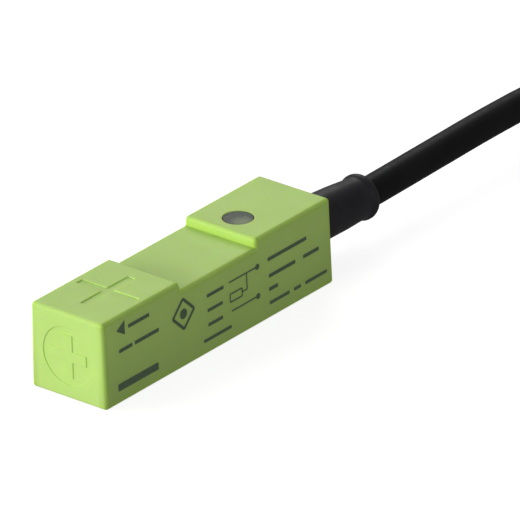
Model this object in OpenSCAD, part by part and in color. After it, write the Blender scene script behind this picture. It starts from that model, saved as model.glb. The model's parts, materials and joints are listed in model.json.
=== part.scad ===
// Rectangular inductive proximity sensor with a moulded-on cable.
// +Z is up, the sensing face looks towards -Y, and the origin is the middle of the housing's underside.

/* [Housing] */
// Width of the housing across its sensing face, at half its height
body_w = 12; // [12:0.5:14]
// How much wider the housing is at its foot than at its top
taper = 0.6; // [0:0.1:0.8]
// Height of the housing
body_h = 12; // [12:0.5:13]
// Length of the housing, from the sensing face to the back
body_l = 45.5; // [45:0.5:48]
// Radius of the housing's outer edges
edge_r = 0.5; // [0.3:0.1:0.7]
// Thickness of the housing's walls
wall = 1.1; // [1:0.1:1.2]

/* [Clamp recess] */
// Length of the head, in front of the recess
head_l = 15.6; // [14:0.1:16]
// Length of the block behind the recess
rear_l = 15.1; // [15:0.1:16]
// Depth of the recess
recess_depth = 1.25; // [0.8:0.05:1.4]

/* [Sensing marks] */
// Diameter of the round pocket in the sensing face
pocket_d = 8.1; // [7:0.1:9]
// Depth of the pocket, and height of the cross that stands in it
pocket_depth = 0.12; // [0.1:0.02:0.3]
// Length of one arm of the cross in the pocket
face_arm = 3; // [2:0.1:3.3]
// Width of the arms of the cross in the pocket
face_bar = 1.5; // [1:0.1:1.8]
// Length of one arm of the sunken cross on the top
top_arm = 4.7; // [3:0.1:5]
// Width of the arms of the sunken cross on the top
top_bar = 1.2; // [0.8:0.1:1.6]
// Depth of the sunken cross on the top
top_mark_depth = 0.16; // [0.1:0.02:0.3]
// Distance from the sensing face to the middle of the cross on the top
top_mark_at = 8.1; // [7:0.1:8.5]

/* [Indicator] */
// Diameter of the indicator window
lens_d = 4.2; // [3.8:0.1:5]
// Distance from the sensing face to the middle of the window
lens_at = 34.1; // [33.8:0.1:35]

/* [Cable] */
// Diameter of the cable's jacket
cord_d = 4.2; // [4:0.1:4.2]
// Length of the strain relief outside the housing
bushing_l = 14; // [13.5:0.5:15]
// Diameter of the strain relief where it leaves the housing
bushing_d = 6.5; // [6.2:0.1:6.6]
// Angle at which the strain relief droops
bushing_droop = 3; // [0:0.5:3]
// Diameter of one conductor with its insulation
wire_d = 1.2; // [1:0.1:1.3]

/* [Hidden] */
$fn = 64;
cut = 1;                 // how far a cutting shape runs past the face that it opens
gap = 0.02;              // clearance between parts that sit in one another

// Housing
front_y = -body_l / 2;
back_y = body_l / 2;
mid_z = body_h / 2;
foot_w = body_w + taper / 2;
lean = atan(taper / 2 / body_h);
recess_y = [front_y + head_l, back_y - rear_l];
recess_z = body_h - recess_depth;
ramp = 0.4;              // run of the slope at the front end of the recess
cavity_y = front_y + wall + 0.1;
cavity_w = body_w - 2 * wall;
cavity_z = [wall, recess_z - wall - 0.1];
rear_cavity_y = recess_y[1] + wall;
rear_cavity_top = body_h - wall;
cap_l = 2;
cap_y = back_y - cap_l;

// Indicator window: a disc in a seat, on a stem that goes through the roof
lens_y = front_y + lens_at;
lens_disc_l = 0.9;
lens_sunk = 0.02;
lens_stem_d = 3.4;
lens_stem_end = rear_cavity_top - 1;

// Strain relief
neck_d = 5.2;
flange_d = 7;
flange_l = 1.5;
exit_y = back_y + bushing_l * cos(bushing_droop);
exit_z = mid_z - bushing_l * sin(bushing_droop);
jacket_y = 18;
gripped_d = cord_d - 0.2;   // the jacket inside the housing, where the strain relief grips it

// Coil: a pot core half, 7.35 mm across, open towards the sensing face
core_d = 7.35;
core_l = 2.2;
core_window_d = 5.8;
core_post_d = 3;
core_back = 0.7;
bobbin_l = core_l - core_back - 0.1;
bobbin_skin = 0.25;
coil_wire_d = 0.28;
coil_wire_at = [2.05, 5.15];

// Circuit board
board_y = [-17.6, 16.8];
board_w = 9.2;
board_z = [4.2, 5];
pad_y = 14.8;
pad_x = 2.6;
pad_r = 0.8;
led_pin_x = 1.27;
led_pin_d = 0.5;

// Conductors inside: from the pads to the jacket's end
wire_spread = 0.75;
wire_low = mid_z - wire_spread / 2;
wire_side = wire_spread * cos(30);
inner_brown = [[-2.6, 15.6, 5.7], [-2.4, 16.4, 5.7], [-1.3, 17.3, 5.7], [-wire_side, jacket_y, wire_low]];
inner_blue = [for (p = inner_brown) [-p[0], p[1], p[2]]];
inner_black = [[0, 15.6, 5.7], [0, 16.4, 5.9], [0, 17.3, 6.4], [0, jacket_y, mid_z + wire_spread]];

// Hank: the cable wound in two columns of turns a pitch apart, round two parallel folds
pitch = 4.3;
fold_r = 12.6;           // from the middle of the fold to the inner column
hank_run = 35;
hank_x = 12.6;
hank_y = 108;            // where the near folds begin
hank_levels = 6;
hank_lift = 1;           // thickness of the ties that the hank rests on
hank_inner_r = fold_r - pitch / 2;
hank_outer_r = fold_r + 1.5 * pitch;
hank_h = pitch * (hank_levels + 1);
tie_w = 2.5;
tie_t = hank_lift;
tie_y = hank_y + hank_run / 2;
tie_head = [5, 4.5, 3];

// Route of the cable from the strain relief to the hank, and of its last stretch
lead_route = [
    [0, exit_y, exit_z], [0, 42, 5.3], [0, 48, 5.4], [0, 54, 5.5], [0, 60, 5.6], [0, 66, 5.6],
    [0, 71, 5.5], [0, 76, 5.1], [0, 81, 4.4], [0, 86, 3.7], [0, 91, 3.3], [0, 96, 3.1], [0, 100, 3.1]
];
tail_route = [[29.5, 104, 3.1], [29.5, 99, 3], [29.5, 94, 2.6], [29.5, 90, 2.2], [29.5, 86, 2.1]];
// Routes of the stripped conductors at the far end
brown_route = [
    [28.8, 86, 1.7], [28.4, 81, 1.2], [27.6, 75, 0.7], [26.6, 68, 0.6], [25.8, 60, 0.6], [25.4, 52, 0.6]
];
black_route = [
    [29.5, 86, 2.9], [29.5, 80, 2.3], [29.4, 74, 1.3], [29.2, 68, 0.7], [28.9, 61, 0.6], [28.7, 51, 0.6]
];
blue_route = [
    [30.2, 86, 1.7], [30.6, 81, 1.2], [31.2, 75, 0.7], [31.7, 68, 0.6], [31.8, 60, 0.6], [31.4, 53, 0.6]
];
tip_d = 0.8;
tip_l = 6;

function unit(v) = v / norm(v);
function arc(centre, r, from, to, steps = 6) = [
    for (i = [0:steps])
    let (angle = from + (to - from) * i / steps)
    centre + r * [cos(angle), sin(angle)]
];
function heading(route, i) = unit(route[min(i + 1, len(route) - 1)] - route[max(i - 1, 0)]);
function ring(route, i, r, sides) =
    let (ahead = heading(route, i), across = unit(cross(ahead, [0, 0, 1])), above = cross(across, ahead))
    [for (k = [0:sides - 1]) route[i] + r * (cos(360 * k / sides) * across + sin(360 * k / sides) * above)];

// A round tube swept along a route, with one ring of points at each of its points
module tube(route, d, sides) {
    last = (len(route) - 1) * sides;
    walls = [
        for (i = [0:len(route) - 2], k = [0:sides - 1])
        let (a = i * sides + k, b = i * sides + (k + 1) % sides)
        each [[a, b, b + sides], [a, b + sides, a + sides]]
    ];
    start = [for (k = [sides - 1:-1:0]) k];
    end = [for (k = [0:sides - 1]) last + k];
    polyhedron([for (i = [0:len(route) - 1]) each ring(route, i, d / 2, sides)], concat(walls, [start, end]));
}

module rounded_box_outline(w, h, r) {
    polygon(concat(
        arc([w / 2 - r, h - r], r, 0, 90),
        arc([-w / 2 + r, h - r], r, 90, 180),
        arc([-w / 2 + r, r], r, 180, 270),
        arc([w / 2 - r, r], r, 270, 360)
    ));
}

// Side view of the housing, with the recess and its sloping front end
module side_outline() {
    polygon(concat(
        arc([front_y + edge_r, edge_r], edge_r, 270, 180),
        arc([front_y + edge_r, body_h - edge_r], edge_r, 180, 90),
        [[recess_y[0] - ramp, body_h], [recess_y[0], recess_z], [recess_y[1], recess_z]],
        arc([recess_y[1] + edge_r, body_h - edge_r], edge_r, 180, 90),
        arc([back_y - edge_r, body_h - edge_r], edge_r, 90, 0),
        arc([back_y - edge_r, edge_r], edge_r, 0, -90)
    ));
}

// A cylinder along +Y that starts at y = 0
module rod(d, l) {
    rotate([-90, 0, 0])
        cylinder(d = d, h = l);
}

module cross_bars(arm, bar, h) {
    translate([-arm, -bar / 2, 0])
        cube([2 * arm, bar, h]);
    translate([-bar / 2, -arm, 0])
        cube([bar, 2 * arm, h]);
}

// Front view of the housing, whose sides lean inwards towards the top
module front_outline() {
    function round_x(z) = foot_w / 2 - (edge_r + z * sin(lean)) / cos(lean);
    right = concat(
        arc([round_x(edge_r), edge_r], edge_r, -90, lean),
        arc([round_x(body_h - edge_r), body_h - edge_r], edge_r, lean, 90)
    );
    left = [for (i = [len(right) - 1:-1:0]) [-right[i][0], right[i][1]]];
    polygon(concat(right, left));
}

// A tall block with rounded upright edges, tilted so that its +X side leans inwards
module leaning_block() {
    translate([0, 0, mid_z])
        rotate([0, -lean, 0])
            translate([-cut / 2, front_y, -body_h])
                linear_extrude(2 * body_h)
                    rounded_box_outline(body_w + cut, body_l, edge_r);
}

module housing_block() {
    intersection() {
        translate([0, back_y, 0])
            rotate([90, 0, 0])
                linear_extrude(body_l)
                    front_outline();
        translate([-foot_w / 2, 0, 0])
            rotate([90, 0, 90])
                linear_extrude(foot_w)
                    side_outline();
        leaning_block();
        mirror([1, 0, 0])
            leaning_block();
    }
}

module housing() {
    color([0.66, 0.79, 0.42])
        difference() {
            housing_block();
            translate([-cavity_w / 2, cavity_y, cavity_z[0]])
                cube([cavity_w, body_l, cavity_z[1] - cavity_z[0]]);
            translate([-cavity_w / 2, rear_cavity_y, cavity_z[0]])
                cube([cavity_w, body_l, rear_cavity_top - cavity_z[0]]);
            difference() {
                translate([0, front_y - cut, mid_z])
                    rod(pocket_d, pocket_depth + cut);
                translate([0, front_y + cut, mid_z])
                    rotate([90, 0, 0])
                        cross_bars(face_arm, face_bar, 3 * cut);
            }
            translate([0, front_y + top_mark_at, body_h - top_mark_depth])
                cross_bars(top_arm, top_bar, cut);
            translate([0, lens_y, body_h - lens_disc_l - lens_sunk])
                cylinder(d = lens_d, h = lens_disc_l + lens_sunk + cut);
            translate([0, lens_y, rear_cavity_top - cut])
                cylinder(d = lens_stem_d, h = wall + cut);
        }
}

module end_cap() {
    color([0.6, 0.73, 0.38])
        difference() {
            translate([-cavity_w / 2 + gap, cap_y, cavity_z[0] + gap])
                cube([cavity_w - 2 * gap, cap_l, rear_cavity_top - cavity_z[0] - 2 * gap]);
            translate([0, cap_y - cut, mid_z])
                rod(neck_d, cap_l + 2 * cut);
        }
}

module indicator_lens() {
    color([0.42, 0.46, 0.42, 0.8])
        translate([0, lens_y, 0]) {
            translate([0, 0, body_h - lens_disc_l - lens_sunk])
                cylinder(d = lens_d - gap, h = lens_disc_l);
            translate([0, 0, lens_stem_end])
                cylinder(d = lens_stem_d - gap, h = body_h - lens_sunk - lens_disc_l - lens_stem_end);
        }
}

// Half section of the strain relief outside the housing: a slight taper that ends in a rounded lip
module bushing_profile() {
    root_r = bushing_d / 2;
    waist_r = root_r - 0.35;
    lip_r = root_r - 0.08;
    lip_round = 0.95;
    polygon(concat(
        [[0, -cut], [root_r, -cut], [root_r, 0]],
        [[root_r - 0.06, bushing_l - 9], [root_r - 0.14, bushing_l - 6], [root_r - 0.3, bushing_l - 3.2]],
        [[waist_r, bushing_l - 2.2], [waist_r, bushing_l - 1.7], [lip_r - 0.02, bushing_l - 1.15]],
        arc([lip_r - lip_round, bushing_l - lip_round], lip_round, 0, 75, 5),
        [[cord_d / 2, bushing_l], [0, bushing_l]]
    ));
}

// Everything behind the back face, drooping with the strain relief
module drooped() {
    intersection() {
        translate([-body_w / 2, back_y, -body_h])
            cube([body_w, 2 * bushing_l, 2 * body_h]);
        translate([0, back_y, mid_z])
            rotate([-90 - bushing_droop, 0, 0])
                children();
    }
}

module cable_bushing() {
    color([0.09, 0.09, 0.1])
        difference() {
            union() {
                translate([0, cap_y - flange_l, mid_z])
                    rod(flange_d, flange_l);
                translate([0, cap_y, mid_z])
                    rod(neck_d - gap, cap_l);
                drooped()
                    rotate_extrude()
                        bushing_profile();
            }
            jacket_end_solid();
        }
}

module jacket_end_solid() {
    translate([0, jacket_y, mid_z])
        rod(gripped_d, back_y - jacket_y);
    drooped()
        translate([0, 0, -cut])
            cylinder(d = cord_d, h = bushing_l + cut);
}

module jacket_end() {
    color([0.1, 0.1, 0.11])
        jacket_end_solid();
}

// Places a shape that was made along +Z at the back of the front wall, pointing towards +Y
module behind_face() {
    translate([0, cavity_y, mid_z])
        rotate([-90, 0, 0])
            children();
}

module ferrite_core() {
    color([0.16, 0.16, 0.17])
        difference() {
            behind_face()
                difference() {
                    cylinder(d = core_d, h = core_l);
                    translate([0, 0, -cut])
                        difference() {
                            cylinder(d = core_window_d, h = core_l - core_back + cut);
                            cylinder(d = core_post_d, h = core_l + cut);
                        }
                }
            for (side = [-1, 1])
                translate([side * coil_wire_at[0], cavity_y, coil_wire_at[1]])
                    rod(2 * coil_wire_d, core_l + cut);
        }
}

module coil_bobbin() {
    hub_d = core_post_d + 2 * gap;
    rim_d = core_window_d - 2 * gap;
    color([0.85, 0.83, 0.76])
        difference() {
            behind_face()
                rotate_extrude()
                    polygon([
                        [hub_d / 2, 0], [rim_d / 2, 0], [rim_d / 2, bobbin_skin],
                        [hub_d / 2 + bobbin_skin, bobbin_skin],
                        [hub_d / 2 + bobbin_skin, bobbin_l - bobbin_skin],
                        [rim_d / 2, bobbin_l - bobbin_skin], [rim_d / 2, bobbin_l], [hub_d / 2, bobbin_l]
                    ]);
            coil_wires_solid();
        }
}

module coil_winding() {
    hub_d = core_post_d + 2 * (gap + bobbin_skin);
    color([0.72, 0.38, 0.16])
        behind_face()
            translate([0, 0, bobbin_skin])
                difference() {
                    cylinder(d = core_window_d - 0.3, h = bobbin_l - 2 * bobbin_skin);
                    translate([0, 0, -cut])
                        cylinder(d = hub_d, h = core_l + 2 * cut);
                }
}

module coil_wires_solid() {
    start = cavity_y + bobbin_l - bobbin_skin;
    for (side = [-1, 1])
        translate([side * coil_wire_at[0], start, coil_wire_at[1]])
            rod(coil_wire_d, board_y[0] + 1.4 - start);
}

module coil_wires() {
    color([0.75, 0.42, 0.18])
        coil_wires_solid();
}

module circuit_board() {
    color([0.1, 0.35, 0.2])
        difference() {
            translate([-board_w / 2, board_y[0], board_z[0]])
                cube([board_w, board_y[1] - board_y[0], board_z[1] - board_z[0]]);
            for (side = [-1, 1])
                translate([side * led_pin_x, lens_y, board_z[0] - cut])
                    cylinder(d = led_pin_d, h = board_z[1] - board_z[0] + 2 * cut, $fn = 24);
        }
}

// A moulded package with rows of leads along its two long sides
module chip(size, leads, lead_pitch, both_sides = true) {
    stand_off = 0.1;
    translate([-size[0] / 2, -size[1] / 2, stand_off])
        cube(size);
    for (i = [0:leads - 1], side = both_sides ? [-1, 1] : [1])
        translate([side * (size[0] / 2 + 0.4), (i - (leads - 1) / 2) * lead_pitch, 0]) {
            translate([-0.4, -0.2, 0])
                cube([0.8, 0.4, 0.2]);
            translate([side > 0 ? -0.4 : 0.2, -0.2, 0])
                cube([0.2, 0.4, size[2] / 2 + stand_off]);
        }
}

module detector_ic() {
    color([0.12, 0.12, 0.13])
        translate([0, -10.5, board_z[1]])
            chip([3.9, 4.9, 1.4], 4, 1.27);
}

module output_transistor() {
    color([0.14, 0.14, 0.15])
        translate([0, -2.5, board_z[1]])
            chip([2.5, 4.5, 1.4], 3, 1.5, false);
}

module voltage_regulator() {
    color([0.15, 0.15, 0.16])
        translate([-2.4, 4, board_z[1]])
            chip([1.3, 2.9, 1], 2, 1.9);
}

// A chip part: a plain block lying along Y
module chip_part(size) {
    translate([-size[0] / 2, -size[1] / 2, 0])
        cube(size);
}

module protection_diodes() {
    color([0.18, 0.18, 0.19])
        for (y = [2.4, 6])
            translate([2.4, y, board_z[1]])
                chip_part([1.6, 2.7, 1.1]);
}

module chip_capacitors() {
    size = [1.25, 2, 0.9];
    color([0.72, 0.6, 0.45]) {
        for (x = [-3.6, 3.6])
            translate([x, -14.6, board_z[1]])
                chip_part(size);
        for (y = [-8, 0, 8])
            translate([-2, y, board_z[0] - size[2]])
                chip_part(size);
    }
}

module chip_resistors() {
    size = [0.8, 1.6, 0.45];
    color([0.2, 0.2, 0.22]) {
        for (x = [-3.8, 3.8], y = [-8.4, -5.6])
            translate([x, y, board_z[1]])
                chip_part(size);
        for (y = [-12, -4, 4])
            translate([2.4, y, board_z[0] - size[2]])
                chip_part(size);
    }
}

module indicator_led() {
    flange = [3.8, 1];
    dome_d = 3;
    dome_z = 2.6;
    color([0.8, 0.15, 0.1, 0.85])
        translate([0, lens_y, board_z[1]]) {
            cylinder(d = flange[0], h = flange[1]);
            cylinder(d = dome_d, h = dome_z);
            intersection() {
                translate([0, 0, dome_z])
                    sphere(d = dome_d);
                cylinder(d = dome_d, h = dome_z + dome_d);
            }
            for (side = [-1, 1])
                translate([side * led_pin_x, 0, board_z[0] - board_z[1] - 0.8])
                    cylinder(d = led_pin_d, h = board_z[1] - board_z[0] + 0.8, $fn = 24);
        }
}

module solder_joints() {
    color([0.75, 0.76, 0.78]) {
        for (x = [-pad_x, 0, pad_x])
            translate([x, pad_y, board_z[1]])
                cylinder(r1 = pad_r, r2 = pad_r / 2, h = pad_r, $fn = 24);
        for (x = [-1, 1] * coil_wire_at[0])
            translate([x, board_y[0] + 1.4 + pad_r / 2, board_z[1]])
                cylinder(r1 = pad_r / 2, r2 = pad_r / 4, h = pad_r / 2, $fn = 24);
    }
}

// Resin round the coil, and the plug of resin in front of the end cap
module potting_resin() {
    front_l = core_l + 0.4;
    plug_y = board_y[1] + 0.1;
    color([0.2, 0.2, 0.21, 0.9]) {
        difference() {
            translate([-cavity_w / 2, cavity_y, cavity_z[0]])
                cube([cavity_w, front_l, cavity_z[1] - cavity_z[0]]);
            translate([0, cavity_y - cut, mid_z])
                rod(core_d, core_l + cut);
            coil_wires_solid();
        }
        difference() {
            translate([-cavity_w / 2, plug_y, cavity_z[0]])
                cube([cavity_w, cap_y - plug_y, rear_cavity_top - cavity_z[0]]);
            translate([0, cap_y - flange_l, mid_z])
                rod(flange_d, flange_l + cut);
            translate([0, jacket_y, mid_z])
                rod(gripped_d, cap_y - jacket_y);
            for (route = [inner_brown, inner_black, inner_blue])
                tube(route, wire_d, 8);
        }
    }
}

module brown_wire() {
    color([0.35, 0.18, 0.08])
        tube(inner_brown, wire_d, 8);
}

module black_wire() {
    color([0.07, 0.07, 0.07])
        tube(inner_black, wire_d, 8);
}

module blue_wire() {
    color([0.08, 0.2, 0.6])
        tube(inner_blue, wire_d, 8);
}

module cable_lead() {
    color([0.1, 0.1, 0.11])
        tube(lead_route, cord_d, 10);
}

module round_ended(r) {
    circle(r = r);
    translate([0, hank_run])
        circle(r = r);
    translate([-r, 0])
        square([2 * r, hank_run]);
}

module cable_hank() {
    color([0.1, 0.1, 0.11])
        translate([hank_x, hank_y, hank_lift])
            linear_extrude(hank_h)
                difference() {
                    round_ended(hank_outer_r);
                    round_ended(hank_inner_r);
                }
}

// One tie: a flat band round one side of the hank, with its lock on the top
module tie() {
    bundle_w = hank_outer_r - hank_inner_r;
    rotate([90, 0, 0])
        linear_extrude(tie_w, center = true)
            difference() {
                translate([-tie_t, -tie_t])
                    square([bundle_w + 2 * tie_t, hank_h + 2 * tie_t]);
                square([bundle_w, hank_h]);
            }
    translate([bundle_w / 2 - tie_head[0] / 2, -tie_head[1] / 2, hank_h + tie_t])
        cube(tie_head);
}

module cable_ties() {
    color([0.12, 0.12, 0.12])
        for (x = [-hank_outer_r, hank_inner_r])
            translate([hank_x + x, tie_y, hank_lift])
                tie();
}

module cable_tail() {
    color([0.1, 0.1, 0.11])
        tube(tail_route, cord_d, 10);
}

module brown_lead() {
    color([0.35, 0.18, 0.08])
        tube(brown_route, wire_d, 8);
}

module black_lead() {
    color([0.07, 0.07, 0.07])
        tube(black_route, wire_d, 8);
}

module blue_lead() {
    color([0.08, 0.2, 0.6])
        tube(blue_route, wire_d, 8);
}

module tinned_tips() {
    color([0.75, 0.76, 0.78])
        for (route = [brown_route, black_route, blue_route]) {
            end = route[len(route) - 1];
            ahead = heading(route, len(route) - 1);
            tube([end, end + tip_l / 2 * ahead, end + tip_l * ahead], tip_d, 8);
        }
}

housing();
end_cap();
indicator_lens();
cable_bushing();
ferrite_core();
coil_bobbin();
coil_winding();
coil_wires();
circuit_board();
detector_ic();
output_transistor();
voltage_regulator();
protection_diodes();
chip_capacitors();
chip_resistors();
indicator_led();
solder_joints();
potting_resin();
jacket_end();
brown_wire();
black_wire();
blue_wire();
cable_lead();
cable_hank();
cable_ties();
cable_tail();
brown_lead();
black_lead();
blue_lead();
tinned_tips();
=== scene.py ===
"""Looks of the rectangular proximity sensor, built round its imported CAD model.

Everything is in metres, in the CAD frame: +Z is up, the sensing face looks towards -Y, the marks are on
the +X side and the cable leaves towards +Y. Sizes given in millimetres are written times MM.
"""

import json
import math

import bmesh
import bpy
from mathutils import Matrix, Vector


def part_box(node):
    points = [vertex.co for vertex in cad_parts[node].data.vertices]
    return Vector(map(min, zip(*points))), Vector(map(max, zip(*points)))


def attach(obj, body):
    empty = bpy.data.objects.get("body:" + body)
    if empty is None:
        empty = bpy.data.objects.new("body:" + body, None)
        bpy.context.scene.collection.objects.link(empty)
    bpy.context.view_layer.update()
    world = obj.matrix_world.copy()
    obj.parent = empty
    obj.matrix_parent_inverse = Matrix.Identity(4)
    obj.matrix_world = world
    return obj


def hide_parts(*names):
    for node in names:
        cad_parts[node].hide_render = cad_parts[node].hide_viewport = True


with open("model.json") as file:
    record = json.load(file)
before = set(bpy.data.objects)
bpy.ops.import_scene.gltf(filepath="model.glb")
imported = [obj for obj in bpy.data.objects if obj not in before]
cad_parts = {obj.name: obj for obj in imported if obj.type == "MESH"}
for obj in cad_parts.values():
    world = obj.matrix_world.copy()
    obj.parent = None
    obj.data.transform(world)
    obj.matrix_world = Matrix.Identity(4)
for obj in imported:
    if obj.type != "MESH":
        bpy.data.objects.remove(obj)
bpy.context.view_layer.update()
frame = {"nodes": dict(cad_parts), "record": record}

MM = 0.001


# ---------------------------------------------------------------- sizes

low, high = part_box("housing")
WIDTH = 12 * MM  # at half its height
TAPER = 0.6 * MM  # how much wider the foot is than the top
HEIGHT = high.z - low.z
FRONT = low.y
BACK = high.y
MID_Z = HEIGHT / 2
EDGE_R = 0.5 * MM
WALL = 1.1 * MM

RECESS = (FRONT + 15.6 * MM, BACK - 15.1 * MM)
RECESS_Z = HEIGHT - 1.25 * MM
RAMP = 0.4 * MM
FILLET = 0.12 * MM

POCKET_R = 4.05 * MM
POCKET_DEPTH = 0.12 * MM
FACE_CROSS = (3 * MM, 1.5 * MM)  # half the length of its bars, and their width
TOP_CROSS = (4.7 * MM, 1.2 * MM)
TOP_CROSS_DEPTH = 0.16 * MM
TOP_CROSS_Y = FRONT + 8.1 * MM

LENS_Y = FRONT + 34.1 * MM
LENS_R = 2.1 * MM
LENS_STEM_R = 1.7 * MM
LENS_THICK = 0.9 * MM
LENS_SUNK = 0.02 * MM

CAP_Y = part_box("end_cap")[0].y
NECK_R = 2.6 * MM
FLANGE_R = 3.5 * MM
FLANGE_L = 1.5 * MM
BUSHING_L = 14 * MM
BUSHING_R = 3.25 * MM
DROOP = math.radians(3)
GAP = 0.01 * MM  # between parts that fit into each other

CORD_D = 4.2 * MM
JACKET_Y = 18 * MM
WIRE_D = 1.2 * MM
TIP_D = 0.8 * MM
TIP_L = 6 * MM

EXIT = Vector((0, BACK + BUSHING_L * math.cos(DROOP), MID_Z - BUSHING_L * math.sin(DROOP)))


def mm(*values):
    return Vector(values) * MM


# ---------------------------------------------------------------- camera

AZIMUTH = math.radians(39.91)
ELEVATION = math.radians(26.10)
ROLL = math.radians(-1.68)
AIM = mm(0, 15.44, 4.33)
DISTANCE = 1.3438
FOCAL_MM = 726


def add_camera():
    """A long lens far away, which looks down at the sensing face, the top and the +X side."""
    back = Vector((
        math.sin(AZIMUTH) * math.cos(ELEVATION),
        -math.cos(AZIMUTH) * math.cos(ELEVATION),
        math.sin(ELEVATION),
    ))
    level = (-back).cross(Vector((0, 0, 1))).normalized()
    over = level.cross(-back)
    right = level * math.cos(ROLL) + over * math.sin(ROLL)
    up = over * math.cos(ROLL) - level * math.sin(ROLL)
    data = bpy.data.cameras.new("camera")
    data.lens = FOCAL_MM
    data.sensor_width = 36
    data.clip_start = 0.05
    data.clip_end = 50
    camera = bpy.data.objects.new("camera", data)
    turned = Matrix((right, up, back)).transposed().to_4x4()
    camera.matrix_world = Matrix.Translation(AIM + back * DISTANCE) @ turned
    bpy.context.scene.collection.objects.link(camera)
    bpy.context.scene.camera = camera


# ---------------------------------------------------------------- materials

def srgb(red, green, blue):
    """A colour given as three sRGB values from 0 to 255, as the shader wants it."""
    def linear(value):
        value /= 255
        return value / 12.92 if value <= 0.04045 else ((value + 0.055) / 1.055) ** 2.4
    return (linear(red), linear(green), linear(blue), 1)


def scaled(colour, factor):
    return tuple(value * factor for value in colour[:3]) + (1,)


class Look:
    """A node material with one Principled shader, whose colour, roughness and bump come from noise."""

    def __init__(self, name, **sockets):
        self.material = bpy.data.materials.new(name)
        self.material.use_nodes = True
        self.tree = self.material.node_tree
        self.shader = self.tree.nodes["Principled BSDF"]
        self.place = self.add("ShaderNodeTexCoord").outputs["Object"]
        self.height = None
        for socket, value in sockets.items():
            self.shader.inputs[socket.replace("_", " ")].default_value = value

    def add(self, kind, **settings):
        node = self.tree.nodes.new(kind)
        for key, value in settings.items():
            setattr(node, key, value)
        return node

    def link(self, output, node, socket):
        self.tree.links.new(output, node.inputs[socket])

    def noise(self, size, detail=3, roughness=0.5, stretch=(1, 1, 1)):
        """Noise whose features are about size metres across."""
        mapping = self.add("ShaderNodeMapping")
        mapping.inputs["Scale"].default_value = [1 / (size * s) for s in stretch]
        self.link(self.place, mapping, "Vector")
        node = self.add("ShaderNodeTexNoise")
        node.inputs["Scale"].default_value = 1
        node.inputs["Detail"].default_value = detail
        node.inputs["Roughness"].default_value = roughness
        self.link(mapping.outputs["Vector"], node, "Vector")
        return node.outputs["Fac"]

    def between(self, factor, first, last, start=0.3, end=0.7):
        """Colours from first to last as factor goes from start to end."""
        ramp = self.add("ShaderNodeValToRGB")
        ramp.color_ramp.elements[0].position = start
        ramp.color_ramp.elements[1].position = end
        ramp.color_ramp.elements[0].color = first
        ramp.color_ramp.elements[1].color = last
        self.link(factor, ramp, "Fac")
        return ramp.outputs["Color"]

    def near_edges(self, reach):
        """From 0 on the flat to 1 at an edge or in a corner, over that many metres."""
        bevel = self.add("ShaderNodeBevel", samples=6)
        bevel.inputs["Radius"].default_value = reach
        turned = self.add("ShaderNodeVectorMath", operation="DOT_PRODUCT")
        self.link(bevel.outputs["Normal"], turned, 0)
        self.link(self.add("ShaderNodeNewGeometry").outputs["Normal"], turned, 1)
        return self.ranged(turned.outputs["Value"], 1, 0.8, 0, 1)

    def away_from(self, centre, spread=(1, 1, 1)):
        """Distance in metres from a point of the object, along the axes that spread keeps."""
        offset = self.add("ShaderNodeVectorMath", operation="SUBTRACT")
        self.link(self.place, offset, 0)
        offset.inputs[1].default_value = centre
        kept = self.add("ShaderNodeVectorMath", operation="MULTIPLY")
        self.link(offset.outputs["Vector"], kept, 0)
        kept.inputs[1].default_value = spread
        length = self.add("ShaderNodeVectorMath", operation="LENGTH")
        self.link(kept.outputs["Vector"], length, 0)
        return length.outputs["Value"]

    def combined(self, operation, first, second):
        """Two values in one, such as their MAXIMUM or what they MULTIPLY to."""
        node = self.add("ShaderNodeMath", operation=operation)
        self.link(first, node, 0)
        self.link(second, node, 1)
        return node.outputs["Value"]

    def ranged(self, value, start, end, first, last):
        """Value from start to end becomes first to last."""
        spread = self.add("ShaderNodeMapRange")
        numbers = {"From Min": start, "From Max": end, "To Min": first, "To Max": last}
        for socket, number in numbers.items():
            spread.inputs[socket].default_value = number
        self.link(value, spread, "Value")
        return spread.outputs["Result"]

    def mixed(self, factor, output, colour):
        """The output's colour, and that constant colour as factor goes from 0 to 1."""
        mix = self.add("ShaderNodeMix", data_type="RGBA")
        self.link(factor, mix, "Factor")
        first, second, result = mix.inputs[6], mix.inputs[7], mix.outputs[2]  # those of its colour mode
        self.tree.links.new(output, first)
        second.default_value = colour
        return result

    def colour(self, output):
        self.link(output, self.shader, "Base Color")

    def roughness(self, factor, low_value, high_value):
        self.link(self.ranged(factor, 0.3, 0.7, low_value, high_value), self.shader, "Roughness")

    def bump(self, factor, depth):
        """Bump of that depth in metres. Several of them add up."""
        node = self.add("ShaderNodeBump")
        node.inputs["Strength"].default_value = 1
        node.inputs["Distance"].default_value = depth
        self.link(factor, node, "Height")
        if self.height is not None:
            self.link(self.height, node, "Normal")
        self.height = node.outputs["Normal"]
        self.link(self.height, self.shader, "Normal")


def plastic(name, colour, roughness=0.45, grain=0.12 * MM, depth=0.001 * MM, vary=0.06, **sockets):
    """Moulded plastic: slow changes of tone, and a fine grain from the mould."""
    look = Look(name, **sockets)
    slow = look.noise(6 * MM)
    look.colour(look.between(slow, scaled(colour, 1 - vary), scaled(colour, 1 + vary)))
    look.roughness(look.noise(1.5 * MM), roughness - 0.05, roughness + 0.05)
    look.bump(look.noise(grain, detail=2), depth)
    return look.material


def metal(name, colour, roughness, grain):
    look = Look(name, Metallic=1)
    fine = look.noise(grain)
    look.colour(look.between(fine, scaled(colour, 0.88), colour))
    look.roughness(fine, roughness - 0.08, roughness + 0.08)
    look.bump(fine, 0.01 * grain)
    return look.material


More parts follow.
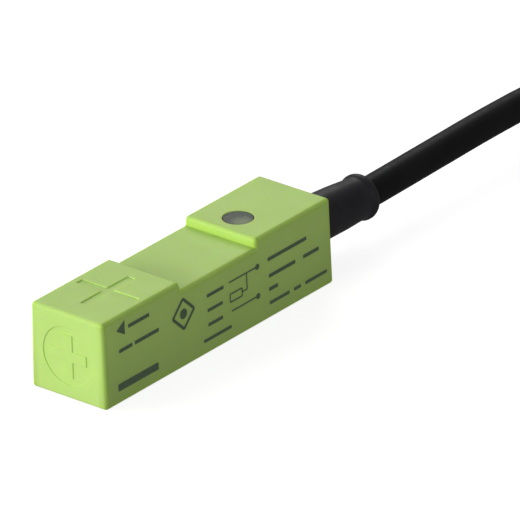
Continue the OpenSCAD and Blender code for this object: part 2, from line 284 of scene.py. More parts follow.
def case_material():
    """Yellow-green moulded plastic. Its long edges and the step behind the recess are purer in colour:
    painted light and shade for light through the thin plastic and light bounced into the step. Its sides
    carry painted shade towards the underside."""
    colour, edge_light_colour = srgb(194, 228, 128), srgb(172, 211, 34)
    across, along, upright = (1, 0, 0), (0, 1, 0), (0, 0, 1)
    origin, before_step = (0, 0, 0), (0, RECESS[1] - 1.5 * MM, 0)
    look = Look(
        "case_plastic", Subsurface_Weight=0.5, Subsurface_Radius=(0.7, 1.0, 0.12),
        Subsurface_Scale=0.9 * MM, Specular_IOR_Level=0.07,
    )
    slow = look.noise(9 * MM, detail=2)
    flat = look.between(slow, scaled(colour, 0.97), scaled(colour, 1.03))
    sides = look.ranged(look.away_from(origin, across), 4.7 * MM, 5.6 * MM, 0, 1)
    step = look.ranged(look.away_from(before_step, along), 1.9 * MM, 2.5 * MM, 0.7, 0)
    # Painted shade: the sides darken towards the underside, as if less light reached them there
    shade_towards_floor = look.ranged(look.away_from(origin, upright), 0, 9 * MM, 0.6, 0)
    with_painted_shade = look.mixed(look.combined("MULTIPLY", sides, shade_towards_floor), flat, scaled(colour, 0.68))
    # Painted light and shade: the long edges, the step's wall and the corner at its foot take a purer green,
    # standing in for light through the thin plastic and light bounced off the step
    places = look.combined("MAXIMUM", sides, step)
    painted_edge_light = look.combined("MULTIPLY", look.near_edges(1.4 * MM), places)
    look.colour(look.mixed(painted_edge_light, with_painted_shade, edge_light_colour))
    look.roughness(look.noise(2 * MM), 0.46, 0.56)
    look.bump(look.noise(0.14 * MM, detail=2), 0.0012 * MM)
    look.bump(look.noise(5 * MM, detail=1), 0.006 * MM)
    return look.material


def lens_material():
    """Smoky plastic with paler specks. It is paler towards one side as a painted reflection, and a painted
    shade makes it darkest at the rim across from it.
    """
    pale, dark = srgb(120, 133, 96), srgb(62, 73, 58)
    speck, rim_shade_colour = srgb(142, 150, 134), srgb(36, 46, 28)
    middle, painted_light_spot, level = (0, LENS_Y, 0), (1.4 * MM, LENS_Y - 0.7 * MM, 0), (1, 1, 0)
    look = Look("smoky_window", Specular_IOR_Level=0.12, Subsurface_Weight=0.2, Subsurface_Scale=0.4 * MM)
    # Painted reflection: the colour pales towards one side
    from_painted_light = look.away_from(painted_light_spot, level)
    body = look.between(look.ranged(from_painted_light, 0.5 * MM, 2 * MM, 0, 1), pale, dark, 0, 1)
    specks = look.ranged(look.noise(0.45 * MM, detail=4), 0.6, 0.72, 0, 0.4)
    speckled = look.mixed(specks, body, speck)
    # Painted shade: the rim darkens across from the pale side
    rim = look.ranged(look.away_from(middle, level), LENS_R - 0.7 * MM, LENS_R - 0.12 * MM, 0, 1)
    shaded = look.combined("MULTIPLY", rim, look.ranged(from_painted_light, 1.2 * MM, 3 * MM, 0.1, 0.95))
    look.colour(look.mixed(shaded, speckled, rim_shade_colour))
    look.roughness(look.noise(0.5 * MM), 0.4, 0.5)
    look.bump(look.noise(0.1 * MM), 0.0015 * MM)
    return look.material


def jacket_material():
    """Black extruded jacket: faint lines along its length, and a soft sheen."""
    colour = srgb(37, 37, 38)
    look = Look("cable_jacket", Specular_IOR_Level=0.04)
    slow = look.noise(5 * MM)
    look.colour(look.between(slow, scaled(colour, 0.9), scaled(colour, 1.12)))
    look.roughness(look.noise(1.2 * MM), 0.42, 0.56)
    look.bump(look.noise(0.35 * MM, stretch=(1, 12, 1)), 0.003 * MM)
    look.bump(look.noise(0.12 * MM), 0.001 * MM)
    return look.material


def bushing_material():
    colour = srgb(52, 52, 55)
    look = Look("bushing_plastic", Specular_IOR_Level=0.08)
    slow = look.noise(4 * MM)
    look.colour(look.between(slow, scaled(colour, 0.85), scaled(colour, 1.2)))
    look.roughness(look.noise(1.5 * MM), 0.4, 0.5)
    look.bump(look.noise(0.15 * MM), 0.0015 * MM)
    look.bump(look.noise(2.5 * MM, detail=1), 0.015 * MM)
    return look.material


def ink_material():
    colour = srgb(84, 108, 78)
    look = Look("print_ink")
    patchy = look.noise(0.3 * MM, detail=4)
    look.colour(look.between(patchy, scaled(colour, 0.85), scaled(colour, 1.35)))
    look.roughness(patchy, 0.5, 0.65)
    look.bump(look.noise(0.12 * MM), 0.002 * MM)
    return look.material


def board_material():
    """Green solder mask with paler lines where the tracks run underneath."""
    look = Look("circuit_board", Specular_IOR_Level=0.55, Coat_Weight=0.3)
    tracks = look.add("ShaderNodeTexWave", wave_type="BANDS", bands_direction="X")
    tracks.inputs["Scale"].default_value = 260
    tracks.inputs["Distortion"].default_value = 4
    tracks.inputs["Detail"].default_value = 0
    look.link(look.place, tracks, "Vector")
    look.colour(look.between(tracks.outputs["Fac"], srgb(18, 74, 42), srgb(32, 104, 60), 0.6, 0.7))
    look.roughness(look.noise(1 * MM), 0.28, 0.4)
    look.bump(tracks.outputs["Fac"], 0.02 * MM)
    return look.material


def winding_material():
    """Enamelled copper wire in rows of turns."""
    look = Look("enamelled_copper", Metallic=1, Coat_Weight=0.6)
    turns = look.add("ShaderNodeTexWave", wave_type="BANDS", bands_direction="Y", wave_profile="SIN")
    turns.inputs["Scale"].default_value = 2600
    turns.inputs["Distortion"].default_value = 0.4
    look.link(look.place, turns, "Vector")
    look.colour(look.between(turns.outputs["Fac"], srgb(120, 58, 24), srgb(206, 122, 62)))
    look.roughness(look.noise(0.3 * MM), 0.25, 0.38)
    look.bump(turns.outputs["Fac"], 0.02 * MM)
    return look.material


def ferrite_material():
    look = Look("ferrite")
    specks = look.noise(0.08 * MM, detail=5, roughness=0.7)
    look.colour(look.between(specks, srgb(34, 33, 34), srgb(64, 62, 62)))
    look.roughness(specks, 0.6, 0.8)
    look.bump(specks, 0.006 * MM)
    return look.material


def chip_part_material(name, colour, end_colour, half_length):
    """Ceramic chip parts that lie along Y, paler where noise marks their tinned ends."""
    look = Look(name)
    grain = look.noise(half_length / 4)
    look.colour(look.between(grain, colour, end_colour, 0.45, 0.75))
    look.roughness(grain, 0.35, 0.55)
    look.bump(look.noise(0.1 * MM), 0.003 * MM)
    return look.material


def make_materials():
    return {
        "case": case_material(),
        "window": lens_material(),
        "bushing": bushing_material(),
        "jacket": jacket_material(),
        "print": ink_material(),
        "ferrite": ferrite_material(),
        "bobbin": plastic(
            "bobbin_plastic", srgb(224, 219, 200), 0.4, Subsurface_Weight=0.2, Subsurface_Scale=MM),
        "copper": winding_material(),
        "board": board_material(),
        "chip_body": plastic("chip_body", srgb(34, 34, 37), 0.6, grain=0.08 * MM, depth=0.003 * MM),
        "capacitor": chip_part_material("chip_capacitor", srgb(176, 146, 108), srgb(206, 200, 188), MM),
        "resistor": chip_part_material("chip_resistor", srgb(40, 42, 48), srgb(150, 150, 152), 0.8 * MM),
        "led": plastic("red_epoxy", srgb(200, 34, 26), 0.15, Transmission_Weight=0.35, Coat_Weight=0.5),
        "solder": metal("tinned_metal", srgb(205, 207, 212), 0.3, 0.2 * MM),
        "resin": plastic("cast_resin", srgb(44, 44, 48), 0.25, vary=0.15, Coat_Weight=0.4),
        "tie": plastic("nylon_tie", srgb(34, 34, 36), 0.38, grain=0.2 * MM, depth=0.002 * MM),
        "brown_insulation": plastic("brown_insulation", srgb(98, 56, 30), 0.32, Coat_Weight=0.2),
        "black_insulation": plastic("black_insulation", srgb(32, 32, 34), 0.32, Coat_Weight=0.2),
        "blue_insulation": plastic("blue_insulation", srgb(34, 76, 168), 0.32, Coat_Weight=0.2),
    }


materials = make_materials()


# ---------------------------------------------------------------- mesh helpers

def add_object(name, data, slot):
    """Adds a piece that rides on the sensor and takes its finish from that slot."""
    piece = bpy.data.objects.new(name, data)
    bpy.context.scene.collection.objects.link(piece)
    data.materials.clear()
    data.materials.append(materials[slot])
    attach(piece, "root")
    return piece


def mesh_of(name, points, faces):
    """A closed mesh whose faces all look outwards."""
    mesh = bpy.data.meshes.new(name)
    mesh.from_pydata([tuple(p) for p in points], [], faces)
    work = bmesh.new()
    work.from_mesh(mesh)
    bmesh.ops.remove_doubles(work, verts=work.verts, dist=1e-7)
    bmesh.ops.dissolve_degenerate(work, edges=work.edges, dist=1e-7)
    bmesh.ops.recalc_face_normals(work, faces=work.faces)
    work.to_mesh(mesh)
    work.free()
    return mesh


def joined(name, meshes):
    """One mesh of several separate closed ones."""
    work = bmesh.new()
    for mesh in meshes:
        work.from_mesh(mesh)
    mesh = bpy.data.meshes.new(name)
    work.to_mesh(mesh)
    work.free()
    return mesh


def rounded_outline(corners, steps=6):
    """Points and outward normals of an outline that runs anticlockwise. A corner is (across, up, radius),
    and it is rounded whether it sticks out or goes in."""
    points, normals = [], []
    for i, (across, up, radius) in enumerate(corners):
        corner = Vector((across, up))
        before = (corner - Vector(corners[i - 1][:2])).normalized()
        after = (Vector(corners[(i + 1) % len(corners)][:2]) - corner).normalized()
        turn = math.atan2(before.x * after.y - before.y * after.x, before.dot(after))
        side = 1 if turn > 0 else -1
        out = Vector((before.y, -before.x))
        start = corner - before * radius * math.tan(abs(turn) / 2)
        centre = start - out * radius * side
        count = steps if radius > 0 else 0
        for k in range(count + 1):
            angle = turn * (k / count if count else 0.5)
            normal = Matrix.Rotation(angle, 2) @ out
            points.append(centre + normal * radius * side)
            normals.append(normal)
    return points, normals


def band(first, last, count):
    """Faces between two rings of count points each, given by the rings' numbers."""
    faces = []
    for i in range(count):
        j = (i + 1) % count
        faces.append([first * count + i, first * count + j, last * count + j, last * count + i])
    return faces


def skin(rings):
    """Faces between rings of points of the same length, and a flat cap at each end."""
    count = len(rings[0])
    points = [p for ring in rings for p in ring]
    faces = [list(range(count)), [len(points) - count + i for i in range(count)]]
    for r in range(len(rings) - 1):
        faces += band(r, r + 1, count)
    return points, faces


def prism(name, outline, start, end, place, edge_r=0.0, steps=6):
    """A closed solid of an outline between two heights, with both rims rounded by edge_r. place(a, b, h)
    turns a point of the outline and a height into a point in space."""
    points, normals = outline
    rings = []
    for level, inwards in [(start, 1), (end, -1)]:
        rim = []
        for k in range(steps + 1 if edge_r else 1):
            angle = math.pi / 2 * (1 - k / steps) if edge_r else 0
            inset = edge_r * (1 - math.cos(angle))
            height = level + inwards * edge_r * (1 - math.sin(angle))
            rim.append([place(*(p - n * inset), height) for p, n in zip(points, normals)])
        rings += rim if inwards > 0 else rim[::-1]
    return mesh_of(name, *skin(rings))


def along_x(a, b, h):
    return Vector((h, a, b))


def along_y(a, b, h):
    return Vector((a, h, b))


def along_z(a, b, h):
    return Vector((a, b, h))


def rectangle(a0, b0, a1, b1, radius):
    return [(a0, b0, radius), (a1, b0, radius), (a1, b1, radius), (a0, b1, radius)]


def plus_outline(a, b, arm, width):
    """Corners of an upright cross about (a, b)."""
    w = width / 2
    corners = [
        (-w, -arm), (w, -arm), (w, -w), (arm, -w), (arm, w), (w, w),
        (w, arm), (-w, arm), (-w, w), (-arm, w), (-arm, -w), (-w, -w),
    ]
    return [(a + x, b + y, 0) for x, y in corners]


def circle(a, b, radius, count=96):
    turns = [2 * math.pi * i / count for i in range(count)]
    normals = [Vector((math.cos(t), math.sin(t))) for t in turns]
    return [Vector((a, b)) + n * radius for n in normals], normals


def lathe(name, rings, count=64):
    """A closed solid swept from circles. A ring is (centre, across, up, radius), and the last one joins
    the first."""
    turns = [2 * math.pi * i / count for i in range(count)]
    points = [c + (x * math.cos(t) + y * math.sin(t)) * r for c, x, y, r in rings for t in turns]
    faces = []
    for r in range(len(rings)):
        faces += band(r, (r + 1) % len(rings), count)
    return mesh_of(name, points, faces)


def boolean(mesh, other, operation):
    """The mesh with the other one cut out of it or joined to it."""
    target = bpy.data.objects.new("target", mesh)
    tool = bpy.data.objects.new("tool", other)
    for thing in (target, tool):
        bpy.context.scene.collection.objects.link(thing)
    modifier = target.modifiers.new("boolean", "BOOLEAN")
    modifier.operation = operation
    modifier.solver = "EXACT"
    modifier.object = tool
    bpy.context.view_layer.update()
    graph = bpy.context.evaluated_depsgraph_get()
    result = bpy.data.meshes.new_from_object(target.evaluated_get(graph))
    for thing in (target, tool):
        bpy.data.objects.remove(thing)
    return result


SHARP = math.radians(40)


def finish_edges(piece, width, segments=2):
    """Breaks the sharp edges and keeps the flat faces flat."""
    if width:
        bevel = piece.modifiers.new("edges", "BEVEL")
        bevel.width = width
        bevel.segments = segments
        bevel.limit_method = "ANGLE"
        bevel.angle_limit = SHARP
        bevel.miter_outer = "MITER_ARC"
    for polygon in piece.data.polygons:
        polygon.use_smooth = True
    weighted = piece.modifiers.new("normals", "WEIGHTED_NORMAL")
    weighted.weight = 100
    weighted.keep_sharp = False


# ---------------------------------------------------------------- cord

# Points that the cable and its cores pass through, in mm
LEAD_ROUTE = [
    (0, 42, 5.3), (0, 48, 5.4), (0, 54, 5.5), (0, 60, 5.6), (0, 66, 5.6),
    (0, 71, 5.5), (0, 76, 5.1), (0, 81, 4.4), (0, 86, 3.7), (0, 91, 3.3), (0, 96, 3.1), (0, 100, 3.1),
]
TAIL_ROUTE = [(29.5, 104, 3.1), (29.5, 99, 3), (29.5, 94, 2.6), (29.5, 90, 2.2), (29.5, 86, 2.1)]
CORE_ROUTES = {
    "brown_lead": [
        (28.8, 86, 1.7), (28.4, 81, 1.2), (27.6, 75, 0.7),
        (26.6, 68, 0.6), (25.8, 60, 0.6), (25.4, 52, 0.6),
    ],
    "black_lead": [
        (29.5, 86, 2.9), (29.5, 80, 2.3), (29.4, 74, 1.3),
        (29.2, 68, 0.7), (28.9, 61, 0.6), (28.7, 51, 0.6),
    ],
    "blue_lead": [
        (30.2, 86, 1.7), (30.6, 81, 1.2), (31.2, 75, 0.7),
        (31.7, 68, 0.6), (31.8, 60, 0.6), (31.4, 53, 0.6),
    ],
}

PITCH = 4.3 * MM
FOLD_R = 12.6 * MM
HANK_RUN = 35 * MM
HANK_X = 12.6 * MM
HANK_Y = 108 * MM
HANK_LOW = 3.1 * MM
INNER_TURNS = 6
OUTER_TURNS = 5
RUN_SHARE = HANK_RUN / (2 * HANK_RUN + 2 * math.pi * FOLD_R)
RUN_POINTS = 4
FOLD_POINTS = 9


def smooth(share):
    share = min(max(share, 0), 1)
    return share * share * (3 - 2 * share)


def hank_point(turn):
    """A point of the wound cable, turn turns after it begins its first run. The inner column climbs, the
    outer one comes down round it, and the last turn drops to the level of the first."""
    whole, share = int(turn), turn % 1
    shift = smooth((turn - INNER_TURNS) / RUN_SHARE)
    radius = FOLD_R + PITCH * shift
    if turn <= INNER_TURNS:
        level = turn
    elif turn <= INNER_TURNS + OUTER_TURNS:
        level = 2 * INNER_TURNS - turn
    else:
        level = INNER_TURNS - OUTER_TURNS - smooth((turn - INNER_TURNS - OUTER_TURNS) / RUN_SHARE)
    z = HANK_LOW + PITCH * level
    if share < RUN_SHARE:
        return Vector((HANK_X - radius, HANK_Y + HANK_RUN * share / RUN_SHARE, z))
    if share < 0.5:
        angle = math.pi * (share - RUN_SHARE) / (0.5 - RUN_SHARE)
        y = HANK_Y + HANK_RUN + radius * math.sin(angle)
        return Vector((HANK_X - radius * math.cos(angle), y, z))
    if share < 0.5 + RUN_SHARE:
        return Vector((HANK_X + radius, HANK_Y + HANK_RUN * (1 - (share - 0.5) / RUN_SHARE), z))
    angle = math.pi * (share - 0.5 - RUN_SHARE) / (0.5 - RUN_SHARE)
    return Vector((HANK_X + radius * math.cos(angle), HANK_Y - radius * math.sin(angle), z))


def hank_turns():
    """Where along the hank its points lie, until the last right run ends."""
    half = [RUN_SHARE * k / RUN_POINTS for k in range(RUN_POINTS)]
    half += [RUN_SHARE + (0.5 - RUN_SHARE) * k / FOLD_POINTS for k in range(FOLD_POINTS)]
    turns = [n / 2 + share for n in range(2 * (INNER_TURNS + OUTER_TURNS) + 1) for share in half]
    last_run = INNER_TURNS + OUTER_TURNS + 0.5
    return turns + [last_run + RUN_SHARE * k / RUN_POINTS for k in range(RUN_POINTS + 1)]


def curve_through(name, points, diameter, slot, resolution=6):
    """A round solid line of that diameter on one smooth curve through the points."""
    data = bpy.data.curves.new(name, "CURVE")
    data.dimensions = "3D"
    data.bevel_depth = diameter / 2
    data.bevel_resolution = 6
    data.resolution_u = resolution
    data.use_fill_caps = True
    spline = data.splines.new("BEZIER")
    spline.bezier_points.add(len(points) - 1)
    for knot, point in zip(spline.bezier_points, points):
        knot.co = point
        knot.handle_left_type = "AUTO"
        knot.handle_right_type = "AUTO"
    return add_object(name, data, slot)


def add_tie(name, centre_x):
    """A nylon tie round one side of the hank: a strap with rounded corners, its lock and the cut end."""
    thick, strap_w, corner_r = 1 * MM, 2.5 * MM, 1.6 * MM
    half_w, tall = PITCH, PITCH * (INNER_TURNS + 1)
    bottom = 1 * MM
    top = bottom + tall + thick
    y = HANK_Y + HANK_RUN / 2

    def loop(grow):
        return rounded_outline(rectangle(
            centre_x - half_w - grow, bottom - grow, centre_x + half_w + grow, bottom + tall + grow,
            corner_r + grow), 8)[0]

    def block(part, left, right, half_y, low_z, high_z, upright_r, rim_r):
        outline = rounded_outline(rectangle(
            centre_x + left, y - half_y, centre_x + right, y + half_y, upright_r))
        return prism(name + part, outline, top + low_z, top + high_z, along_z, rim_r)

    inner, outer = loop(0), loop(thick)
    rings = [
        [along_y(p.x, p.y, y + side * strap_w / 2) for p in points]
        for points, side in [(outer, -1), (outer, 1), (inner, 1), (inner, -1)]
    ]
    faces = [face for r in range(4) for face in band(r, (r + 1) % 4, len(inner))]
    strap = mesh_of(name + "_strap", [p for ring in rings for p in ring], faces)
    lock = block("_lock", -2.5 * MM, 2.5 * MM, 2.25 * MM, -0.2 * MM, 2.9 * MM, 0.6 * MM, 0.4 * MM)
    tail = block("_end", -1.2 * MM, -0.3 * MM, strap_w / 2, 2.5 * MM, 3.0 * MM, 0.2 * MM, 0.1 * MM)
    piece = add_object(name, joined(name, [strap, lock, tail]), "tie")
    finish_edges(piece, 0.2 * MM, 3)
    return piece


def add_cords():
    """The cable from inside the strain relief to the end of its tail, its ties, and the conductors that
    leave it."""
    droop = Vector((0, math.cos(DROOP), -math.sin(DROOP)))
    root = Vector((0, BACK, MID_Z))
    inside = [Vector((0, JACKET_Y, MID_Z)), Vector((0, CAP_Y, MID_Z))]
    inside += [root + droop * BUSHING_L * share for share in (0.08, 0.36, 0.68)]
    points = inside + [EXIT] + [mm(*p) for p in LEAD_ROUTE]
    points += [hank_point(turn) for turn in hank_turns()] + [mm(*p) for p in TAIL_ROUTE]
    cable = curve_through("cable", points, CORD_D, "jacket")
    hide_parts("jacket_end", "cable_lead", "cable_hank", "cable_tail")

    ties = [
        add_tie("tie_left", HANK_X - FOLD_R - PITCH / 2),
        add_tie("tie_right", HANK_X + FOLD_R + PITCH / 2),
    ]
    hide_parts("cable_ties")

    cores, tips = [], []
    for name, route in CORE_ROUTES.items():
        slot = name.replace("lead", "insulation")
        path = [mm(*p) for p in route]
        ahead = (path[-1] - path[-2]).normalized()
        first = path[0] - (path[1] - path[0]).normalized() * 2 * MM
        core = curve_through(name.replace("lead", "core"), [first] + path, WIRE_D, slot, 10)
        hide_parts(name)
        tip_path = [path[-1] - ahead * MM, path[-1] + ahead * TIP_L / 2, path[-1] + ahead * TIP_L]
        tip = curve_through(name.replace("lead", "tip"), tip_path, TIP_D, "solder")
        cores.append(core)
        tips.append(tip)
    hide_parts("tinned_tips")

    for core, tip in zip(cores, tips):
        route = CORE_ROUTES[core.name.replace("core", "lead")]


# ---------------------------------------------------------------- strain relief

# Its outside as far as the lip: distance from the back of the housing, and radius, in mm
RELIEF_TAPER = [
    (0.6, 3.245), (3, 3.22), (5, 3.19), (8, 3.11), (9.6, 3.03), (10.8, 2.95), (11.8, 2.9), (12.25, 2.9),
    (12.4, 2.93), (12.55, 3.02), (12.7, 3.11), (12.85, 3.16),
]
LIP_R = BUSHING_R - 0.08 * MM
LIP_ROUND = 0.95 * MM
LIP_ARC = math.radians(78)
FLANGE_ROUND = 0.25 * MM
BORE = CORD_D / 2 + GAP


def lip_profile(steps=10):
    """Distances from the back of the housing and radii of the rounded lip and its mouth."""
    profile = []
    for k in range(1, steps + 1):
        angle = LIP_ARC * k / steps
        distance = BUSHING_L - LIP_ROUND + LIP_ROUND * math.sin(angle)
        profile.append((distance, LIP_R - LIP_ROUND * (1 - math.cos(angle))))
    return profile + [(BUSHING_L, 2.45 * MM), (BUSHING_L, 2.25 * MM), (BUSHING_L - 0.06 * MM, BORE)]


def add_bushing():
    """The strain relief: its flange and neck inside the housing, and outside a slight taper that ends in a
    rounded lip and droops a little."""
    neck = NECK_R - GAP
    side, up = Vector((1, 0, 0)), Vector((0, 0, 1))
    ahead = Vector((0, math.cos(DROOP), -math.sin(DROOP)))
    over = Vector((0, math.sin(DROOP), math.cos(DROOP)))
    root = Vector((0, BACK, MID_Z))
    flange = CAP_Y - FLANGE_L

    def straight(y, radius):
        return (Vector((0, y, MID_Z)), side, up, radius)

    def drooped(distance, radius):
        return (root + ahead * distance, side, over, radius)

    def flange_edge(steps=4):
        """Rings of the rounded front edge of the flange."""
        rings = []
        for k in range(steps, -1, -1):
            angle = math.pi / 2 * k / steps
            y = flange + FLANGE_ROUND * (1 - math.sin(angle))
            rings.append(straight(y, FLANGE_R - FLANGE_ROUND * (1 - math.cos(angle))))
        return rings

    rings = flange_edge()
    rings += [straight(CAP_Y, FLANGE_R), straight(CAP_Y, neck), straight(BACK, neck)]
    rings += [straight(BACK, BUSHING_R)]
    rings += [drooped(at * MM, radius * MM) for at, radius in RELIEF_TAPER]
    rings += [drooped(at, radius) for at, radius in lip_profile()]
    rings += [drooped(0.5 * BUSHING_L, BORE), straight(BACK, BORE), straight(flange, BORE)]
    piece = add_object("strain_relief", lathe("strain_relief", rings), "bushing")
    finish_edges(piece, 0)
    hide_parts("cable_bushing")
    return piece


# ---------------------------------------------------------------- housing

def leaned(mesh):
    """The mesh with each of its sides leaning inwards by half of TAPER towards the top."""
    for vertex in mesh.vertices:
        vertex.co.x *= 1 + TAPER / WIDTH * (0.5 - vertex.co.z / HEIGHT)
    return mesh


def housing_blank():
    """The case from outside: the side view with its recess, extruded across and rounded along every edge."""
    half = WIDTH / 2
    corners = [
        (FRONT, 0, EDGE_R), (BACK, 0, EDGE_R), (BACK, HEIGHT, EDGE_R), (RECESS[1], HEIGHT, EDGE_R),
        (RECESS[1], RECESS_Z, FILLET), (RECESS[0], RECESS_Z, FILLET),
        (RECESS[0] - RAMP, HEIGHT, EDGE_R), (FRONT, HEIGHT, EDGE_R),
    ]
    outline = rounded_outline(corners, 8)
    return leaned(prism("housing_blank", outline, -half, half, along_x, EDGE_R, 8))


def housing_hollow():
    """The space inside the case, open at the back, with a higher roof in the rear block."""
    half = WIDTH / 2 - WALL
    extra = 0.1 * MM
    front = FRONT + WALL + extra
    roof = RECESS_Z - WALL - extra
    rear, rear_roof = RECESS[1] + WALL, HEIGHT - WALL
    corners = [
        (front, WALL, 0), (BACK + MM, WALL, 0), (BACK + MM, rear_roof, 0), (rear, rear_roof, 0),
        (rear, roof, 0), (front, roof, 0),
    ]
    return prism("housing_hollow", rounded_outline(corners), -half, half, along_x)


def add_housing():
    over = HEIGHT + MM
    face_cross = rounded_outline(plus_outline(0, MID_Z, *FACE_CROSS))
    pocket = boolean(
        prism("pocket", circle(0, MID_Z, POCKET_R), FRONT - MM, FRONT + POCKET_DEPTH, along_y),
        prism("pocket_cross", face_cross, FRONT - 2 * MM, FRONT + MM, along_y),
        "DIFFERENCE")
    sunk_cross = rounded_outline(plus_outline(0, TOP_CROSS_Y, *TOP_CROSS))
    top_cross = prism("top_cross", sunk_cross, HEIGHT - TOP_CROSS_DEPTH, over, along_z)
    seat = prism("seat", circle(0, LENS_Y, LENS_R), HEIGHT - LENS_THICK - LENS_SUNK, over, along_z)
    stem_hole = prism("stem_hole", circle(0, LENS_Y, LENS_STEM_R, 64), HEIGHT - 2 * WALL, over, along_z)
    mesh = housing_blank()
    for cutter in (housing_hollow(), pocket, top_cross, seat, stem_hole):
        mesh = boolean(mesh, cutter, "DIFFERENCE")
    piece = add_object("case", mesh, "case")
    finish_edges(piece, 0.04 * MM)
    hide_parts("housing")


def add_end_cap():
    """The plug that closes the back, with a chamfered rim."""
    loose = 0.02 * MM
    half = WIDTH / 2 - WALL - loose
    corners = rectangle(-half, WALL + loose, half, HEIGHT - WALL - loose, 0.1 * MM)
    outline = rounded_outline(corners, 3)
    mesh = boolean(
        prism("cap_block", outline, CAP_Y, BACK - 0.03 * MM, along_y),
        prism("cap_bore", circle(0, MID_Z, NECK_R, 64), CAP_Y - MM, BACK + MM, along_y), "DIFFERENCE")
    piece = add_object("rear_plug", mesh, "case")
    finish_edges(piece, 0.12 * MM)
    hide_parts("end_cap")


def add_lens():
    """The window: a slightly crowned disc with a rounded rim, on its stem."""
    top = HEIGHT - LENS_SUNK
    radius, stem_r = LENS_R - GAP, LENS_STEM_R - GAP
    crown, rim = 0.05 * MM, 0.15 * MM
    side, up = Vector((1, 0, 0)), Vector((0, 1, 0))
    profile = [(top - LENS_THICK - MM, 0), (top - LENS_THICK - MM, stem_r)]
    profile += [(top - LENS_THICK, stem_r), (top - LENS_THICK, radius)]
    for k in range(7):
        angle = math.pi / 2 * k / 6
        profile.append((top - crown - rim * (1 - math.sin(angle)), radius - rim * (1 - math.cos(angle))))
    flat_r = radius - rim
    profile += [(top - crown * (share ** 2), flat_r * share) for share in (0.8, 0.6, 0.4, 0.2, 0)]
    rings = [(Vector((0, LENS_Y, z)), side, up, r) for z, r in profile]
    piece = add_object("window", lathe("window", rings), "window")
    finish_edges(piece, 0)
    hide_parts("indicator_lens")


# ---------------------------------------------------------------- printed marks

INK = 0.02 * MM


def ink(outline):
    """A patch of ink on the +X side. The outline is in (distance from the sensing face, height)."""
    points, normals = outline
    moved = [p + Vector((FRONT, 0)) for p in points]
    return prism("ink", (moved, normals), WIDTH / 2 - INK, WIDTH / 2 + INK, along_x)


def bar(start, end, height, thick):
    """A plain bar that stands for a word, in millimetres."""
    half = thick / 2 * MM
    corners = rectangle(start * MM, height * MM - half, end * MM, height * MM + half, 0.25 * half)
    return ink(rounded_outline(corners, 3))


def stroke(a, b, width):
    """A straight line of ink between two points, in millimetres."""
    first, last = mm(*a), mm(*b)
    ahead = (last - first).normalized()
    left = Vector((-ahead.y, ahead.x)) * width / 2 * MM
    corners = [first - left, last - left, last + left, first + left]
    return ink(rounded_outline([(p.x, p.y, 0) for p in corners]))


def dot(at, height, radius):
    return ink(circle(at * MM, height * MM, radius * MM, 24))


def frame_line(corners, width):
    """Strokes round a closed outline."""
    return [stroke(a, b, width) for a, b in zip(corners, corners[1:] + corners[:1])]


def add_marks():
    """Generic marks in place of the printed words: bars for words, an arrow towards the sensing face, a
    diamond, and a plain wiring sketch with two terminals and a load."""
    arrow = [(2.7 * MM, 10.1 * MM, 0), (4.3 * MM, 9.1 * MM, 0), (4.3 * MM, 11.1 * MM, 0)]
    marks = [ink(rounded_outline(arrow))]
    words = [
        (5.0, 9.1, 9.95, 0.5), (3.0, 5.6, 7.2, 0.5), (6.1, 10.8, 7.2, 0.5), (2.5, 10.4, 2.3, 1.0),
        (20.4, 23.7, 8.0, 0.45), (20.4, 23.4, 5.95, 0.45),
        (20.4, 23.3, 3.95, 0.45), (19.4, 24.9, 2.0, 0.45),
        (32.6, 40.4, 8.3, 0.5), (32.7, 38.0, 5.95, 0.5), (39.6, 42.8, 5.95, 0.5), (32.6, 34.4, 4.1, 0.5),
        (32.6, 36.6, 2.2, 0.45), (37.5, 38.9, 2.2, 0.45), (39.8, 44.2, 2.2, 0.45),
    ]
    marks += [bar(*word) for word in words]
    diamond = [(13.6, 7.4), (15.7, 5.3), (17.8, 7.4), (15.7, 9.5)]
    marks += frame_line(diamond, 0.4) + [dot(15.7, 7.4, 0.7)]
    marks += [stroke((24.8, 8.15), (30.2, 8.15), 0.2), dot(30.5, 8.15, 0.4)]
    marks += [stroke((28.3, 8.15), (28.3, 5.9), 0.2), stroke((28.3, 5.9), (27.4, 5.9), 0.2)]
    load = [(24.9, 5.35), (27.3, 5.35), (27.3, 6.45), (24.9, 6.45)]
    marks += frame_line(load, 0.2)
    marks += [stroke((25.1, 4.05), (30.1, 4.05), 0.2), dot(30.4, 4.05, 0.4)]
    add_object("side_marks", leaned(joined("side_marks", marks)), "print")


# ---------------------------------------------------------------- CAD nodes that stay

def dress_cad_nodes():
    for entry in frame["record"]["subparts"]:
        node = frame["nodes"][entry["node"]]
        node.data.materials.clear()
        node.data.materials.append(materials[entry["material_slot"]])


# ---------------------------------------------------------------- stage

FLOOR_SIZE = 60
FLOOR_GLOW = 0.84
FLOOR_GREY = 0.4
WORLD_GLOW = 0.2

# Name, place, width, height and power in watts
LIGHTS = [
    ("front_panel", (-0.25, -0.95, 0.17), 1.0, 0.28, 5.5),
    ("left_panel", (-0.75, -0.65, 0.25), 0.4, 0.4, 5.3),
    ("rear_panel", (-0.55, 0.60, 0.60), 0.5, 0.5, 4.3),
    ("right_panel", (0.90, -0.15, 0.45), 0.4, 0.4, 1.35),
]


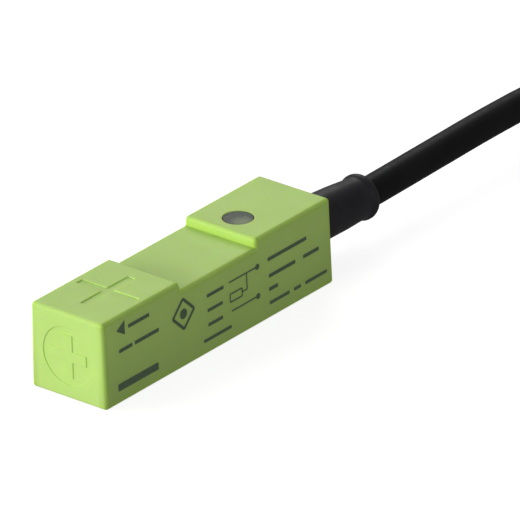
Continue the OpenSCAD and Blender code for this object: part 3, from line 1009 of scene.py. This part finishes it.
def add_floor():
    """A plain pale floor that glows, like a light table, where the camera sees it from above. From below
    it can be seen through, and the sensor is lit as if it weren't there."""
    far = FLOOR_SIZE / 2
    mesh = bpy.data.meshes.new("floor")
    corners = [(-far, -far, 0), (far, -far, 0), (far, far, 0), (-far, far, 0)]
    mesh.from_pydata(corners, [], [(0, 1, 2, 3)])
    floor = bpy.data.objects.new("floor", mesh)
    bpy.context.scene.collection.objects.link(floor)
    material = bpy.data.materials.new("pale_floor")
    material.use_nodes = True
    tree = material.node_tree

    def mixed(factor, first, second):
        node = tree.nodes.new("ShaderNodeMixShader")
        for output, socket in ((factor, 0), (first, 1), (second, 2)):
            tree.links.new(output, node.inputs[socket])
        return node.outputs["Shader"]

    glow = tree.nodes.new("ShaderNodeEmission")
    glow.inputs["Strength"].default_value = FLOOR_GLOW
    matte = tree.nodes.new("ShaderNodeBsdfDiffuse")
    matte.inputs["Color"].default_value = (FLOOR_GREY, FLOOR_GREY, FLOOR_GREY, 1)
    pale = tree.nodes.new("ShaderNodeAddShader")
    tree.links.new(glow.outputs["Emission"], pale.inputs[0])
    tree.links.new(matte.outputs["BSDF"], pale.inputs[1])
    seen = tree.nodes.new("ShaderNodeLightPath").outputs["Is Camera Ray"]
    below = tree.nodes.new("ShaderNodeNewGeometry").outputs["Backfacing"]
    clear = tree.nodes.new("ShaderNodeBsdfTransparent").outputs["BSDF"]
    surface = mixed(below, mixed(seen, clear, pale.outputs["Shader"]), clear)
    tree.links.new(surface, tree.nodes["Material Output"].inputs["Surface"])
    mesh.materials.append(material)


def add_light(name, place, width, height, power):
    """A soft panel that faces the sensor and isn't seen by the camera."""
    data = bpy.data.lights.new(name, "AREA")
    data.shape = "RECTANGLE"
    data.size = width
    data.size_y = height
    data.energy = power
    light = bpy.data.objects.new(name, data)
    light.location = place
    light.rotation_euler = (Vector(place) - Vector((0, 0, MID_Z))).to_track_quat("Z", "Y").to_euler()
    light.visible_camera = False
    bpy.context.scene.collection.objects.link(light)


def add_stage():
    add_floor()
    for light in LIGHTS:
        add_light(*light)
    world = bpy.data.worlds.new("studio")
    world.use_nodes = True
    background = world.node_tree.nodes["Background"]
    background.inputs["Color"].default_value = (1, 1, 1, 1)
    background.inputs["Strength"].default_value = WORLD_GLOW
    bpy.context.scene.world = world
    bpy.context.scene.view_settings.view_transform = "Standard"


# ---------------------------------------------------------------- build

add_camera()
bushing = add_bushing()
add_cords()
add_housing()
add_end_cap()
add_lens()
add_marks()
dress_cad_nodes()
add_stage()
